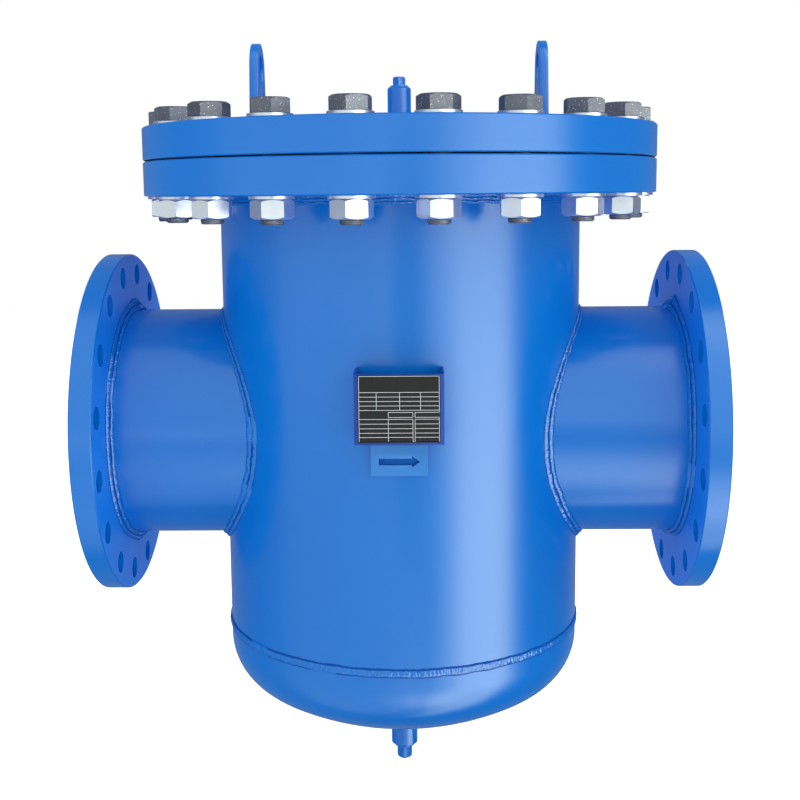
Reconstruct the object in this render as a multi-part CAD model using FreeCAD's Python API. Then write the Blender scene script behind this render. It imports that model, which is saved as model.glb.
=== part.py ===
import FreeCAD, Part
import math
import os

os.makedirs("parts", exist_ok=True)

# Basket strainer for a flanged pipeline, in millimetres, +Z up.
# Every shape is drawn about the vessel's upright axis, with the pipe line at height 0.
# At the end all of them move along +X, so that the origin is the centre of the
# inlet's sealing face and +X is the way the water flows.

# Pipe connections
face_to_face = 850.0            # between the two sealing faces
nozzle_od = 323.9
nozzle_wall = 8.0
nozzle_bolt_offset = 53.05      # from the pipe's outside out to the bolt circle
nozzle_bolt_count = 16
nozzle_bolt_hole = 30.0
nozzle_flange_edge = 27.5       # from the bolt circle to the flange's rim
nozzle_flange_thick = 30.0      # without the raised face
raised_face_height = 4.0
raised_face_land = 2.5          # from the raised face's rim to the bolt holes
pipe_setback = 8.0              # from the sealing face to the end of the pipe

# Vessel
shell_od = 508.0
shell_wall = 8.0
shell_below = 286.5             # from the pipe line down to the middle of the girth weld
root_gap = 3.0                  # between the two plate edges at the girth weld
head_straight = 21.0            # straight flange of the dished end
crown_share = 0.8               # crown radius over the diameter, for a deep head
knuckle_share = 0.154           # knuckle radius over the diameter, for a deep head

# Body flange, gasket and lid
joint_height = 371.0            # from the pipe line up to the top of the body flange
body_flange_thick = 46.0
lid_thick = 44.0
cover_bolt_offset = 71.0        # from the shell's outside out to the bolt circle
cover_bolt_count = 20
cover_bolt_hole = 33.0
cover_edge = 32.5               # from the bolt circle to the rim of flange and lid
gasket_thick = 2.0
gasket_lap = 6.0                # from the shell's bore out to the gasket's inner edge
rim_break = 1.5                 # chamfer on the rims of flanges and lid

# Bolting
bolt_dia = 30.0
head_flats = 46.0
head_height = 18.7
nut_height = 24.0
bolt_end = 6.5                  # thread that stands out under the nut
bolt_point = 2.4                # chamfer at the end of a bolt
hex_face = 0.94                 # end face of a head or nut, over its width across flats
hex_bevel = 30.0                # degrees that its corners are turned off at
washer_od = 56.0
washer_thick = 4.0
washer_play = 0.5               # radial, around the bolt
thread_play = 0.05              # radial, between nut and bolt

# Lifting lugs
lug_spacing = 400.0             # between the middles of the two plates
lug_thick = 12.0
lug_hole = 42.0
lug_hole_height = 81.5          # above the lid
lug_radius = 37.5
lug_foot = 96.0

# Vent on the lid and drain under the dished end
vent_socket_od = 33.0
vent_socket_height = 58.0
vent_thread = 24.2              # plug diameter at the thread
vent_square = 13.5
vent_head = 12.0
drain_socket_od = 39.0
drain_reach = 62.2              # from the dished end down to the socket's mouth
drain_thread = 30.4
drain_square = 17.0
drain_head = 20.0
plug_engaged = 18.0             # thread of a plug that sits in its socket
plug_stand = 1.5                # round part of a plug outside its socket
plug_point = 1.6                # chamfer at the end of a plug
plug_turned = 1.3               # diameter a square head is turned to, over its width
plug_break = 1.8                # chamfer on top of a square head
vent_turned = 38.0              # degrees from square, as it was left when tightened
drain_turned = 40.0
tape_thick = 0.3                # wound sealing tape on the thread
tape_play = 0.05                # radial, on both sides of the tape
tape_inset = 0.5                # from the socket's mouth down to the tape
tape_bare = 2.0                 # end of the thread that the tape leaves bare
socket_break = 3.0              # chamfer at a socket's mouth

# Seat plate and basket
seat_thick = 10.0
seat_clear = 22.0               # from the nozzle bore to the plate's middle, at the saddle
basket_gap = 68.0               # from the shell's bore in to the perforated sheet
sheet_thick = 2.0
strap_thick = 3.0
strap_width = 25.0
strap_count = 6
hoop_height = 25.0
rim_thick = 8.0
seat_play = 4.0                 # radial, between the basket's straps and the seat hole
seat_lap = 26.0                 # width of the rim that rests on the seat plate
sump_depth = 85.0               # from the basket down to the dished end
basket_cup = 20.0               # upturned edge of the basket's bottom
handle_rod = 12.0
handle_bend = 45.0
handle_foot = 60.0              # leg of the handle welded inside the basket
handle_gap = 4.0                # from the handle up to the lid

# Nameplate, its bracket and the flow arrow, on the front
bracket_width = 110.0
bracket_middle = 1.7            # along X from the vessel's axis
bracket_low = 22.5
bracket_high = 112.0
bracket_sheet = 3.0
bracket_stand = 40.0            # from the shell to the bracket's front
bracket_corner = 6.0
web_drop = 2.2                  # from the ears' top to the web's top
nameplate_width = 100.5
nameplate_low = 25.5
nameplate_high = 109.0
nameplate_thick = 1.0
arrow_plate_width = 72.0
arrow_plate_middle = 0.7        # along X from the vessel's axis
arrow_plate_low = -25.0
arrow_plate_high = 20.0
arrow_plate_thick = 3.0
arrow_length = 52.0
arrow_middle = -6.8
arrow_shaft = 8.5
arrow_head_width = 14.5
arrow_head_length = 10.2

# Welds
weld_gap = 0.3                  # between a bead and a round surface, and in round joints
flange_leg = 10.0
saddle_leg = 10.0
saddle_bevel = 7.5              # taken off the saddle bead's square corner
body_leg = 12.0
cap_width = 15.0                # girth weld, outside
cap_height = 1.8
lug_leg = 8.0
socket_leg = 5.0

# Worked out from the values above
shell_r = shell_od / 2
bore_r = shell_r - shell_wall
nozzle_r = nozzle_od / 2
nozzle_bore_r = nozzle_r - nozzle_wall
half_length = face_to_face / 2
nozzle_bolt_circle = nozzle_od + 2 * nozzle_bolt_offset
nozzle_flange_r = nozzle_bolt_circle / 2 + nozzle_flange_edge
raised_face_r = (nozzle_bolt_circle - nozzle_bolt_hole) / 2 - raised_face_land
cover_bolt_circle = shell_od + 2 * cover_bolt_offset
cover_r = cover_bolt_circle / 2 + cover_edge
flange_under = joint_height - body_flange_thick
lid_under = joint_height + gasket_thick
lid_top = lid_under + lid_thick
shell_top = joint_height - pipe_setback
shell_bottom = -shell_below + root_gap / 2
head_top = -shell_below - root_gap / 2
head_tangent = head_top - head_straight
crown_r = crown_share * shell_od
knuckle_r = knuckle_share * shell_od
crown_drop = math.sqrt((crown_r - knuckle_r) ** 2 - (shell_r - knuckle_r) ** 2)
crown_centre = head_tangent + crown_drop
head_bottom = crown_centre - crown_r
head_inside = head_bottom + shell_wall

saddle_x = math.sqrt(bore_r ** 2 - nozzle_bore_r ** 2)
seat_slope = math.atan((nozzle_bore_r + seat_clear) / saddle_x)
sheet_r = bore_r - basket_gap
sheet_bore = sheet_r - sheet_thick
strap_r = sheet_r + weld_gap + strap_thick
seat_hole_r = strap_r + seat_play
rim_r = seat_hole_r + seat_lap
basket_low = head_inside + sump_depth

up = FreeCAD.Vector(0, 0, 1)
along = FreeCAD.Vector(1, 0, 0)
centre = FreeCAD.Vector(0, 0, 0)
reach = 2 * face_to_face        # longer than anything that is cut
over = 1.0                      # how far a cutter runs past a face
same = 0.01                     # how close two edges are, to be the same one


def at(x, y, z):
    return FreeCAD.Vector(x, y, z)


def rod(radius, low, high, x=0.0, y=0.0):
    return Part.makeCylinder(radius, high - low, at(x, y, low), up)


def tube(outer, inner, low, high, x=0.0, y=0.0):
    return rod(outer, low, high, x, y).cut(rod(inner, low - over, high + over, x, y))


def pipe(outer, inner, start, end):
    solid = Part.makeCylinder(outer, end - start, at(start, 0, 0), along)
    bore = Part.makeCylinder(inner, end - start + 2 * over, at(start - over, 0, 0), along)
    return solid.cut(bore)


def face_of(points):
    return Part.Face(Part.makePolygon(points + [points[0]]))


def turned(pairs):
    """A ring about the vessel's axis, from (radius, height) pairs."""
    return face_of([at(r, 0, z) for r, z in pairs]).revolve(centre, up, 360)


def turned_along(pairs):
    """A ring about the pipe line, from (x, radius) pairs."""
    return face_of([at(x, 0, r) for x, r in pairs]).revolve(centre, along, 360)


def block(x0, x1, y0, y1, z0, z1):
    return Part.makeBox(x1 - x0, y1 - y0, z1 - z0, at(x0, y0, z0))


def mirrored(shape):
    return shape.mirror(centre, along)


def circle_places(count, radius):
    """Bolt places that straddle the centre lines, as (angle, x, y)."""
    step = 360.0 / count
    for i in range(count):
        angle = math.radians((i + 0.5) * step)
        yield angle, radius * math.cos(angle), radius * math.sin(angle)


# Vessel

def shell():
    wall = tube(shell_r, bore_r, shell_bottom, shell_top)
    opening = nozzle_r + weld_gap
    return wall.cut(Part.makeCylinder(opening, reach, at(-reach / 2, 0, 0), along))


def head_section(offset):
    """One side of the dished end's wall, moved inwards by offset."""
    knuckle_centre = at(shell_r - knuckle_r, 0, head_tangent)
    meet = math.atan2(crown_drop, shell_r - knuckle_r)
    small = knuckle_r - offset
    large = crown_r - offset

    def knuckle(angle):
        return knuckle_centre + at(small * math.cos(angle), 0, -small * math.sin(angle))

    def crown(angle):
        return at(large * math.cos(angle), 0, crown_centre - large * math.sin(angle))

    side = [at(shell_r - offset, 0, head_top), knuckle(0), knuckle(meet / 2), knuckle(meet)]
    middle = crown((meet + math.pi / 2) / 2)
    return side, middle, at(0, 0, crown_centre - large)


def dished_end():
    outer, outer_middle, outer_pole = head_section(0)
    inner, inner_middle, inner_pole = head_section(shell_wall)
    edges = [
        Part.makeLine(outer[0], outer[1]),
        Part.Arc(outer[1], outer[2], outer[3]).toShape(),
        Part.Arc(outer[3], outer_middle, outer_pole).toShape(),
        Part.makeLine(outer_pole, inner_pole),
        Part.Arc(inner_pole, inner_middle, inner[3]).toShape(),
        Part.Arc(inner[3], inner[2], inner[1]).toShape(),
        Part.makeLine(inner[1], inner[0]),
        Part.makeLine(inner[0], outer[0]),
    ]
    head = Part.Face(Part.Wire(edges)).revolve(centre, up, 360)
    socket_hole = drain_socket_od / 2 + weld_gap
    return head.cut(rod(socket_hole, head_bottom - shell_wall, head_inside + shell_wall))


def body_flange():
    bore = shell_r + weld_gap
    ring = turned([
        (bore, flange_under), (cover_r - rim_break, flange_under),
        (cover_r, flange_under + rim_break), (cover_r, joint_height - rim_break),
        (cover_r - rim_break, joint_height), (bore, joint_height),
    ])
    for _, x, y in circle_places(cover_bolt_count, cover_bolt_circle / 2):
        ring = ring.cut(rod(cover_bolt_hole / 2, flange_under - over, joint_height + over, x, y))
    return ring


def gasket():
    outer = (cover_bolt_circle - cover_bolt_hole) / 2
    return tube(outer, shell_r + gasket_lap, joint_height, lid_under)


def inlet_nozzle():
    wall = pipe(nozzle_r, nozzle_bore_r, -half_length + pipe_setback, 0)
    return wall.cut(rod(bore_r, -reach / 2, reach / 2))


def inlet_flange():
    bore = nozzle_r + weld_gap
    face = -half_length
    front = face + raised_face_height
    back = front + nozzle_flange_thick
    ring = turned_along([
        (face, bore), (face, raised_face_r), (front, raised_face_r),
        (front, nozzle_flange_r - rim_break), (front + rim_break, nozzle_flange_r),
        (back - rim_break, nozzle_flange_r), (back, nozzle_flange_r - rim_break),
        (back, bore),
    ])
    for _, y, z in circle_places(nozzle_bolt_count, nozzle_bolt_circle / 2):
        hole = Part.makeCylinder(
            nozzle_bolt_hole / 2, reach, at(-reach, y, z), along)
        ring = ring.cut(hole)
    return ring


def seat_slab(low, high):
    """A slab in the seat plate's plane, between two distances from its middle."""
    slab = Part.makeBox(reach, reach, high - low, at(-reach / 2, -reach / 2, low))
    slab.rotate(centre, FreeCAD.Vector(0, 1, 0), -math.degrees(seat_slope))
    return slab


def seat_plate():
    """The sloping wall between the inlet and outlet sides, with the basket's hole."""
    plate = seat_slab(-seat_thick / 2, seat_thick / 2)
    plate = plate.common(rod(bore_r - weld_gap, -reach / 2, reach / 2))
    return plate.cut(rod(seat_hole_r, -reach / 2, reach / 2))


def drain_socket():
    mouth = head_bottom - drain_reach
    outer = drain_socket_od / 2
    bore = drain_thread / 2 + tape_thick + 2 * tape_play
    return turned([
        (bore, mouth), (outer - socket_break, mouth), (outer, mouth + socket_break),
        (outer, head_inside), (bore, head_inside),
    ])


def vent_socket():
    mouth = lid_top + vent_socket_height
    outer = vent_socket_od / 2
    bore = vent_thread / 2 + tape_thick + 2 * tape_play
    return turned([
        (bore, lid_top), (outer, lid_top), (outer, mouth - socket_break),
        (outer - socket_break, mouth), (bore, mouth),
    ])


# Weld beads

def girth_weld():
    """A bead through the wall, with a low round cap outside."""
    middle = -shell_below
    foot = shell_r + weld_gap
    half = cap_width / 2
    corners = [
        at(bore_r, 0, middle - root_gap / 2), at(foot, 0, middle - root_gap / 2),
        at(foot, 0, middle - half), at(foot, 0, middle + half),
        at(foot, 0, middle + root_gap / 2), at(bore_r, 0, middle + root_gap / 2),
    ]
    cap = Part.Arc(corners[2], at(foot + cap_height, 0, middle), corners[3]).toShape()
    edges = [Part.makeLine(corners[i], corners[(i + 1) % 6]) for i in (0, 1, 3, 4, 5)]
    edges.insert(2, cap)
    return Part.Face(Part.Wire(edges)).revolve(centre, up, 360)


def saddle_weld():
    """The bead round the outlet pipe where it leaves the shell."""
    foot = nozzle_r + weld_gap
    root = shell_r + weld_gap
    round_pipe = pipe(foot + saddle_leg, foot, 0, half_length)
    bead = round_pipe.common(tube(root + saddle_leg, root, -reach / 4, reach / 4))
    far = root + saddle_leg
    outer = [e for e in bead.Edges if all(
        abs(math.hypot(v.X, v.Y) - far) < same
        and abs(math.hypot(v.Y, v.Z) - foot - saddle_leg) < same for v in e.Vertexes)]
    return bead.makeChamfer(saddle_bevel, outer)


def nozzle_welds():
    bead = saddle_weld()
    return Part.Compound([mirrored(bead), bead])


def flange_welds():
    """Outer fillet and dressed inner bead of each pipe flange."""
    face = -half_length
    back = face + raised_face_height + nozzle_flange_thick
    foot = nozzle_r + weld_gap
    fillet = turned_along([(back, foot), (back, foot + flange_leg), (back + flange_leg, foot)])
    inner = pipe(nozzle_r, nozzle_bore_r, face, face + pipe_setback)
    return Part.Compound([fillet, inner, mirrored(fillet), mirrored(inner)])


def body_flange_welds():
    foot = shell_r + weld_gap
    fillet = turned([
        (foot, flange_under), (foot, flange_under - body_leg), (foot + body_leg, flange_under)])
    return Part.Compound([fillet, tube(shell_r, bore_r, shell_top, joint_height)])


def drain_socket_weld():
    foot = drain_socket_od / 2 + weld_gap
    ring = rod(foot + socket_leg, head_bottom - socket_leg, head_bottom + socket_leg)
    ring = ring.cut(rod(foot, -reach / 2, 0))
    ball = Part.makeSphere(crown_r + weld_gap, at(0, 0, crown_centre))
    return ring.cut(ball)


def lug_fillets(x):
    """The two fillets along the foot of a lug that stands at x."""
    half = lug_foot / 2
    inner = x - lug_thick / 2
    outer = x + lug_thick / 2
    beads = []
    for side, leg in ((inner, -lug_leg), (outer, lug_leg)):
        section = face_of([
            at(side, -half, lid_top), at(side + leg, -half, lid_top),
            at(side, -half, lid_top + lug_leg)])
        beads.append(section.extrude(at(0, lug_foot, 0)))
    return beads


def lid_welds():
    foot = vent_socket_od / 2 + weld_gap
    ring = turned([
        (foot, lid_top), (foot + socket_leg, lid_top), (foot, lid_top + socket_leg)])
    left = lug_fillets(-lug_spacing / 2)
    return Part.Compound([ring] + left + [mirrored(bead) for bead in left])


# Lid

def lid():
    plate = turned([
        (0, lid_under), (cover_r - rim_break, lid_under), (cover_r, lid_under + rim_break),
        (cover_r, lid_top - rim_break), (cover_r - rim_break, lid_top), (0, lid_top),
    ])
    for _, x, y in circle_places(cover_bolt_count, cover_bolt_circle / 2):
        plate = plate.cut(rod(cover_bolt_hole / 2, lid_under - over, lid_top + over, x, y))
    vent_bore = vent_thread / 2 + tape_thick + 2 * tape_play
    return plate.cut(rod(vent_bore, lid_under - over, lid_top + over))


def lug(x):
    """A lifting plate: a round eye with straight flanks down to its foot."""
    half = lug_foot / 2
    eye = lid_top + lug_hole_height
    spread = math.hypot(half, lug_hole_height)
    lean = math.acos(lug_radius / spread) - math.atan2(lug_hole_height, half)
    touch_y = lug_radius * math.cos(lean)
    touch_z = eye + lug_radius * math.sin(lean)
    side = x - lug_thick / 2
    edges = [
        Part.makeLine(at(side, -half, lid_top), at(side, half, lid_top)),
        Part.makeLine(at(side, half, lid_top), at(side, touch_y, touch_z)),
        Part.Arc(at(side, touch_y, touch_z), at(side, 0, eye + lug_radius),
                 at(side, -touch_y, touch_z)).toShape(),
        Part.makeLine(at(side, -touch_y, touch_z), at(side, -half, lid_top)),
    ]
    plate = Part.Face(Part.Wire(edges)).extrude(at(lug_thick, 0, 0))
    hole = Part.makeCylinder(lug_hole / 2, reach, at(-reach / 2, 0, eye), along)
    return plate.cut(hole)


# Bolting

def hexagon(flats, height):
    """A hexagonal prism that stands on height 0, its top corners turned off."""
    corner = flats / math.sqrt(3)
    points = [at(corner * math.cos(math.radians(60 * i)),
                 corner * math.sin(math.radians(60 * i)), 0) for i in range(6)]
    prism = face_of(points).extrude(at(0, 0, height))
    face_r = hex_face * flats / 2
    drop = (corner - face_r) * math.tan(math.radians(hex_bevel))
    cutter = turned([(0, -over), (corner + over, -over), (corner + over, height - drop),
                     (corner, height - drop), (face_r, height), (0, height)])
    return prism.common(cutter)


def bolt():
    """A hexagon bolt with the underside of its head at height 0."""
    grip = lid_top - flange_under + 2 * washer_thick
    length = grip + nut_height + bolt_end
    shank_r = bolt_dia / 2
    shank = turned([(0, 0), (shank_r, 0), (shank_r, bolt_point - length),
                    (shank_r - bolt_point, -length), (0, -length)])
    return hexagon(head_flats, head_height).fuse(shank)


def nut():
    """A hexagon nut with its top at height 0 and its turned corners below."""
    body = hexagon(head_flats, nut_height)
    body = body.cut(rod(bolt_dia / 2 + thread_play, -over, nut_height + over))
    body.rotate(centre, along, 180)
    return body


def on_bolt_circle(piece, height, turns):
    """Copies of one fastener at every bolt, each turned as it was left when tightened."""
    copies = []
    for i, (_, x, y) in enumerate(circle_places(cover_bolt_count, cover_bolt_circle / 2)):
        copy = piece.copy()
        copy.rotate(centre, up, turns[i % len(turns)])
        copy.translate(at(x, y, height))
        copies.append(copy)
    return Part.Compound(copies)


head_turns = [12, 47, 25, 3, 38, 18, 52, 8, 33, 21, 42, 29, 16, 40, 22, 7, 42, 33, 29, 20]
nut_turns = [31, 9, 50, 22, 14, 41, 5, 36, 27, 55, 42, 37, 30, 8, 18, 7, 29, 5, 57, 22]


def bolts():
    return on_bolt_circle(bolt(), lid_top + washer_thick, head_turns)


def washer():
    return tube(washer_od / 2, bolt_dia / 2 + washer_play, 0, washer_thick)


def upper_washers():
    return on_bolt_circle(washer(), lid_top, [0])


def lower_washers():
    return on_bolt_circle(washer(), flange_under - washer_thick, [0])


def nuts():
    return on_bolt_circle(nut(), flange_under - washer_thick, nut_turns)


# Plugs

def square_plug(thread, square, head):
    """A square-headed plug with its socket's mouth at height 0, head up."""
    thread_r = thread / 2
    body = turned([(0, -plug_engaged), (thread_r - plug_point, -plug_engaged),
                   (thread_r, plug_point - plug_engaged), (thread_r, plug_stand),
                   (0, plug_stand)])
    half = square / 2
    high = plug_stand + head
    top = block(-half, half, -half, half, plug_stand, high)
    corner = plug_turned * half
    round_off = turned([(0, 0), (corner, 0), (corner, high - plug_break),
                        (corner - plug_break, high), (0, high)])
    return body.fuse(top.common(round_off)).removeSplitter()


def thread_tape(thread):
    inner = thread / 2 + tape_play
    return tube(inner + tape_thick, inner, tape_bare - plug_engaged, -tape_inset)


def put_vent(shape):
    shape.rotate(centre, up, vent_turned)
    shape.translate(at(0, 0, lid_top + vent_socket_height))
    return shape


def put_drain(shape):
    shape.rotate(centre, along, 180)
    shape.rotate(centre, up, drain_turned)
    shape.translate(at(0, 0, head_bottom - drain_reach))
    return shape


# Basket

def basket_rim():
    """The sloping flange that rests on the seat plate."""
    slab = seat_slab(seat_thick / 2, seat_thick / 2 + rim_thick)
    slab = slab.common(rod(rim_r, -reach / 2, reach / 2))
    return slab.cut(rod(sheet_r + weld_gap, -reach / 2, reach / 2))


def basket_screen():
    """The rolled sheet, cut off level with the top of the sloping rim."""
    sheet = tube(sheet_r, sheet_bore, basket_low, lid_under)
    return sheet.cut(seat_slab(seat_thick / 2 + rim_thick, reach))


def basket_bottom():
    """A cup with an upturned edge inside the sheet."""
    outer = sheet_bore - weld_gap
    return turned([
        (0, basket_low), (outer, basket_low), (outer, basket_low + basket_cup),
        (outer - sheet_thick, basket_low + basket_cup),
        (outer - sheet_thick, basket_low + sheet_thick), (0, basket_low + sheet_thick),
    ])


def hoop_levels():
    lowest_rim = -rim_r * math.tan(seat_slope)
    middle = (basket_low + lowest_rim) / 2
    return [basket_low, middle]


def basket_hoops():
    inner = sheet_r + weld_gap
    return Part.Compound([
        tube(strap_r, inner, level, level + hoop_height) for level in hoop_levels()])


def basket_straps():
    """Upright bars between the hoops and up to the rim, outside the sheet."""
    pieces = []
    below_rim = seat_slab(seat_thick / 2, reach)
    wall = tube(strap_r, sheet_r + weld_gap, basket_low, lid_under).cut(below_rim)
    for hoop in basket_hoops().Solids:
        wall = wall.cut(hoop)
    for i in range(strap_count):
        bar = block(0, reach, -strap_width / 2, strap_width / 2, -reach / 2, reach / 2)
        bar.rotate(centre, up, 360.0 * (i + 0.5) / strap_count)
        pieces += wall.common(bar).Solids
    return Part.Compound(pieces)


def basket_handle():
    """A bent rod whose legs are welded inside the basket, under the lid."""
    half = sheet_bore - weld_gap - handle_rod / 2
    low = -handle_foot
    high = lid_under - handle_gap - handle_rod / 2
    inset = handle_bend * (1 - math.sqrt(0.5))
    turn = high - handle_bend
    edges = [
        Part.makeLine(at(0, -half, low), at(0, -half, turn)),
        Part.Arc(at(0, -half, turn), at(0, inset - half, high - inset),
                 at(0, handle_bend - half, high)).toShape(),
        Part.makeLine(at(0, handle_bend - half, high), at(0, half - handle_bend, high)),
        Part.Arc(at(0, half - handle_bend, high), at(0, half - inset, high - inset),
                 at(0, half, turn)).toShape(),
        Part.makeLine(at(0, half, turn), at(0, half, low)),
    ]
    section = Part.Wire([Part.makeCircle(handle_rod / 2, at(0, -half, low), up)])
    return Part.Wire(edges).makePipeShell([section], True, False)


# Front plates

def nameplate_bracket():
    """A folded sheet: a web in front and two ears back to the shell."""
    front = -shell_r - bracket_stand
    left = bracket_middle - bracket_width / 2
    right = bracket_middle + bracket_width / 2
    web = block(left, right, front, front + bracket_sheet, bracket_low, bracket_high - web_drop)
    ears = []
    for x in (left, right - bracket_sheet):
        ear = block(x, x + bracket_sheet, front, 0, bracket_low, bracket_high)
        edge = [e for e in ear.Edges if all(
            abs(v.Y - front) < same and abs(v.Z - bracket_high) < same for v in e.Vertexes)]
        ears.append(ear.makeFillet(bracket_corner, edge))
    bracket = web.fuse(ears).removeSplitter()
    return bracket.cut(rod(shell_r + weld_gap, -reach / 2, reach / 2))


def nameplate():
    front = -shell_r - bracket_stand
    left = bracket_middle - nameplate_width / 2
    return block(left, left + nameplate_width, front - nameplate_thick, front,
                 nameplate_low, nameplate_high)


def arrow_outline():
    tail = arrow_plate_middle - arrow_length / 2
    tip = tail + arrow_length
    neck = tip - arrow_head_length
    half = arrow_shaft / 2
    wide = arrow_head_width / 2
    outline = [(tail, -half), (neck, -half), (neck, -wide), (tip, 0),
               (neck, wide), (neck, half), (tail, half)]
    return face_of([at(x, -shell_r - arrow_plate_thick * 3, arrow_middle + z)
                    for x, z in outline])


def arrow_plate():
    """A flat plate, hollowed behind to sit on the shell, with the flow arrow cut out of it."""
    inner = shell_r + weld_gap
    left = arrow_plate_middle - arrow_plate_width / 2
    plate = block(left, left + arrow_plate_width, -inner - arrow_plate_thick, -inner / 2,
                  arrow_plate_low, arrow_plate_high)
    plate = plate.cut(rod(inner, arrow_plate_low - over, arrow_plate_high + over))
    return plate.cut(arrow_outline().extrude(at(0, shell_r / 2, 0)))


nodes = {
    "shell": shell(),
    "dished_end": dished_end(),
    "body_flange": body_flange(),
    "gasket": gasket(),
    "inlet_nozzle": inlet_nozzle(),
    "outlet_nozzle": mirrored(inlet_nozzle()),
    "inlet_flange": inlet_flange(),
    "outlet_flange": mirrored(inlet_flange()),
    "seat_plate": seat_plate(),
    "drain_socket": drain_socket(),
    "girth_weld": girth_weld(),
    "nozzle_welds": nozzle_welds(),
    "flange_welds": flange_welds(),
    "body_flange_welds": body_flange_welds(),
    "drain_socket_weld": drain_socket_weld(),
    "nameplate_bracket": nameplate_bracket(),
    "nameplate": nameplate(),
    "arrow_plate": arrow_plate(),
    "lid": lid(),
    "lug_inlet_side": lug(-lug_spacing / 2),
    "lug_outlet_side": lug(lug_spacing / 2),
    "vent_socket": vent_socket(),
    "lid_welds": lid_welds(),
    "bolts": bolts(),
    "upper_washers": upper_washers(),
    "nuts": nuts(),
    "lower_washers": lower_washers(),
    "vent_plug": put_vent(square_plug(vent_thread, vent_square, vent_head)),
    "vent_tape": put_vent(thread_tape(vent_thread)),
    "drain_plug": put_drain(square_plug(drain_thread, drain_square, drain_head)),
    "drain_tape": put_drain(thread_tape(drain_thread)),
    "basket_rim": basket_rim(),
    "basket_screen": basket_screen(),
    "basket_bottom": basket_bottom(),
    "basket_hoops": basket_hoops(),
    "basket_straps": basket_straps(),
    "basket_handle": basket_handle(),
}

for name, shape in nodes.items():
    shape.translate(at(half_length, 0, 0))
    shape.exportStep(f"parts/{name}.step")
    print(name, len(shape.Solids), "solids", round(shape.Volume / 1000), "cm3", shape.isValid())
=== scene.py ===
from math import asin, cos, pi, radians, sin, sqrt, tan, tau

import bmesh
import bpy
from mathutils import Matrix, Vector, noise


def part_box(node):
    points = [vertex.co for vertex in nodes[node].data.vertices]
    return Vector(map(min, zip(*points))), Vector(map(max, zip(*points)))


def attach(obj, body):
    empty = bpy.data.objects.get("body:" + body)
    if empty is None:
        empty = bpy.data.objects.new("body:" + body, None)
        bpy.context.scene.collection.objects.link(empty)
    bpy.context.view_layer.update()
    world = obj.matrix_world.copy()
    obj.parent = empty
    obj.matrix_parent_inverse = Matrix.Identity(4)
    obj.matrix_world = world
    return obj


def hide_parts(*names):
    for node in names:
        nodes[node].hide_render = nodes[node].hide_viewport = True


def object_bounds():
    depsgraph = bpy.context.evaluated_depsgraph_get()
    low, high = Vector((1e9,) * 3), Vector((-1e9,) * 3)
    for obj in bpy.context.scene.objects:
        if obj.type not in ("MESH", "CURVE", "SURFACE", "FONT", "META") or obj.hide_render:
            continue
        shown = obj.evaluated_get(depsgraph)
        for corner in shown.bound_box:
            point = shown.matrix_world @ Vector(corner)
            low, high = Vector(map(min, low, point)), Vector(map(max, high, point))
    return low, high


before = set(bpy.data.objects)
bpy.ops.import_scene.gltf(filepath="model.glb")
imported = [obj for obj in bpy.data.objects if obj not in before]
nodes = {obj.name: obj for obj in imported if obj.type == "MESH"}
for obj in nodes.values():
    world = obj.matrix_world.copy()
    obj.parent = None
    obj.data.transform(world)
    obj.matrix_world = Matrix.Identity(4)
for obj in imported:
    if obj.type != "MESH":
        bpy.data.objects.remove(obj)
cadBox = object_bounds()
print("frame loaded:", len(nodes), "nodes")


# Places read from the frame
def low(node):
    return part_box(node)[0]


def high(node):
    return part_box(node)[1]


def middle(node, axis):
    return (low(node)[axis] + high(node)[axis]) / 2


up = Vector((0, 0, 1))
along = Vector((1, 0, 0))
vesselX = middle("shell", 0)
shellRadius = (high("shell").y - low("shell").y) / 2
pipeRadius = (high("inlet_nozzle").z - low("inlet_nozzle").z) / 2
axisPoint = Vector((vesselX, 0, 0))


def ringPoint(radius, angle, height):
    return Vector((vesselX + radius * cos(angle), radius * sin(angle), height))


def pipePoint(radius, angle, x):
    return Vector((x, radius * cos(angle), radius * sin(angle)))


def quads(count, size, closed=False, start=0):
    # the faces between count rings of size points each, a closed stack joined end to end
    pairs = [(start + i * size, start + (i + 1) % count * size) for i in range(count - (not closed))]
    return [(a + j, b + j, b + (j + 1) % size, a + (j + 1) % size) for a, b in pairs for j in range(size)]


def addObject(name, data):
    made = bpy.data.objects.new(name, data)
    bpy.context.scene.collection.objects.link(made)
    return made


def addNode(tree, kind, settings=None, links=None):
    # kind is a shader node's name without its ShaderNode, or another node's full name; links hold
    # an input's value, or what it joins to: a socket, or a node for its first output
    node = tree.nodes.new(kind if "Node" in kind else "ShaderNode" + kind)
    for key, value in (settings or {}).items():
        setattr(node, key, value)
    for key, value in (links or {}).items():
        value = value.outputs[0] if isinstance(value, bpy.types.Node) else value
        if isinstance(value, bpy.types.NodeSocket):
            tree.links.new(value, node.inputs[key])
        else:
            node.inputs[key].default_value = value
    return node


def linear(hexColour):
    # sRGB hex to the linear values that Blender's sockets hold
    channels = [int(hexColour[i:i + 2], 16) / 255 for i in (1, 3, 5)]
    return [c / 12.92 if c <= 0.04045 else ((c + 0.055) / 1.055) ** 2.4 for c in channels] + [1.0]


# Camera: almost level, a little above the pipe line
cameraPlan = {
    "place": (0.4550, -1.7346, 0.3286),
    "lens": 54.22,
    "sensor": 36.0,
    "shiftY": -0.0494,
    "right": (0.99981287, 0.01730269, -0.00865063),
    "tilt": (0.00616497, 0.13887019, 0.9902914),
    "back": (0.01833602, -0.99015942, 0.13873753),
}


def makeCamera(plan):
    data = bpy.data.cameras.new("camera")
    data.lens = plan["lens"]
    data.sensor_width = plan["sensor"]
    data.shift_y = plan["shiftY"]
    camera = addObject("camera", data)
    turn = Matrix((plan["right"], plan["tilt"], plan["back"])).transposed()
    camera.matrix_world = Matrix.Translation(plan["place"]) @ turn.to_4x4()
    bpy.context.scene.camera = camera


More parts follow.
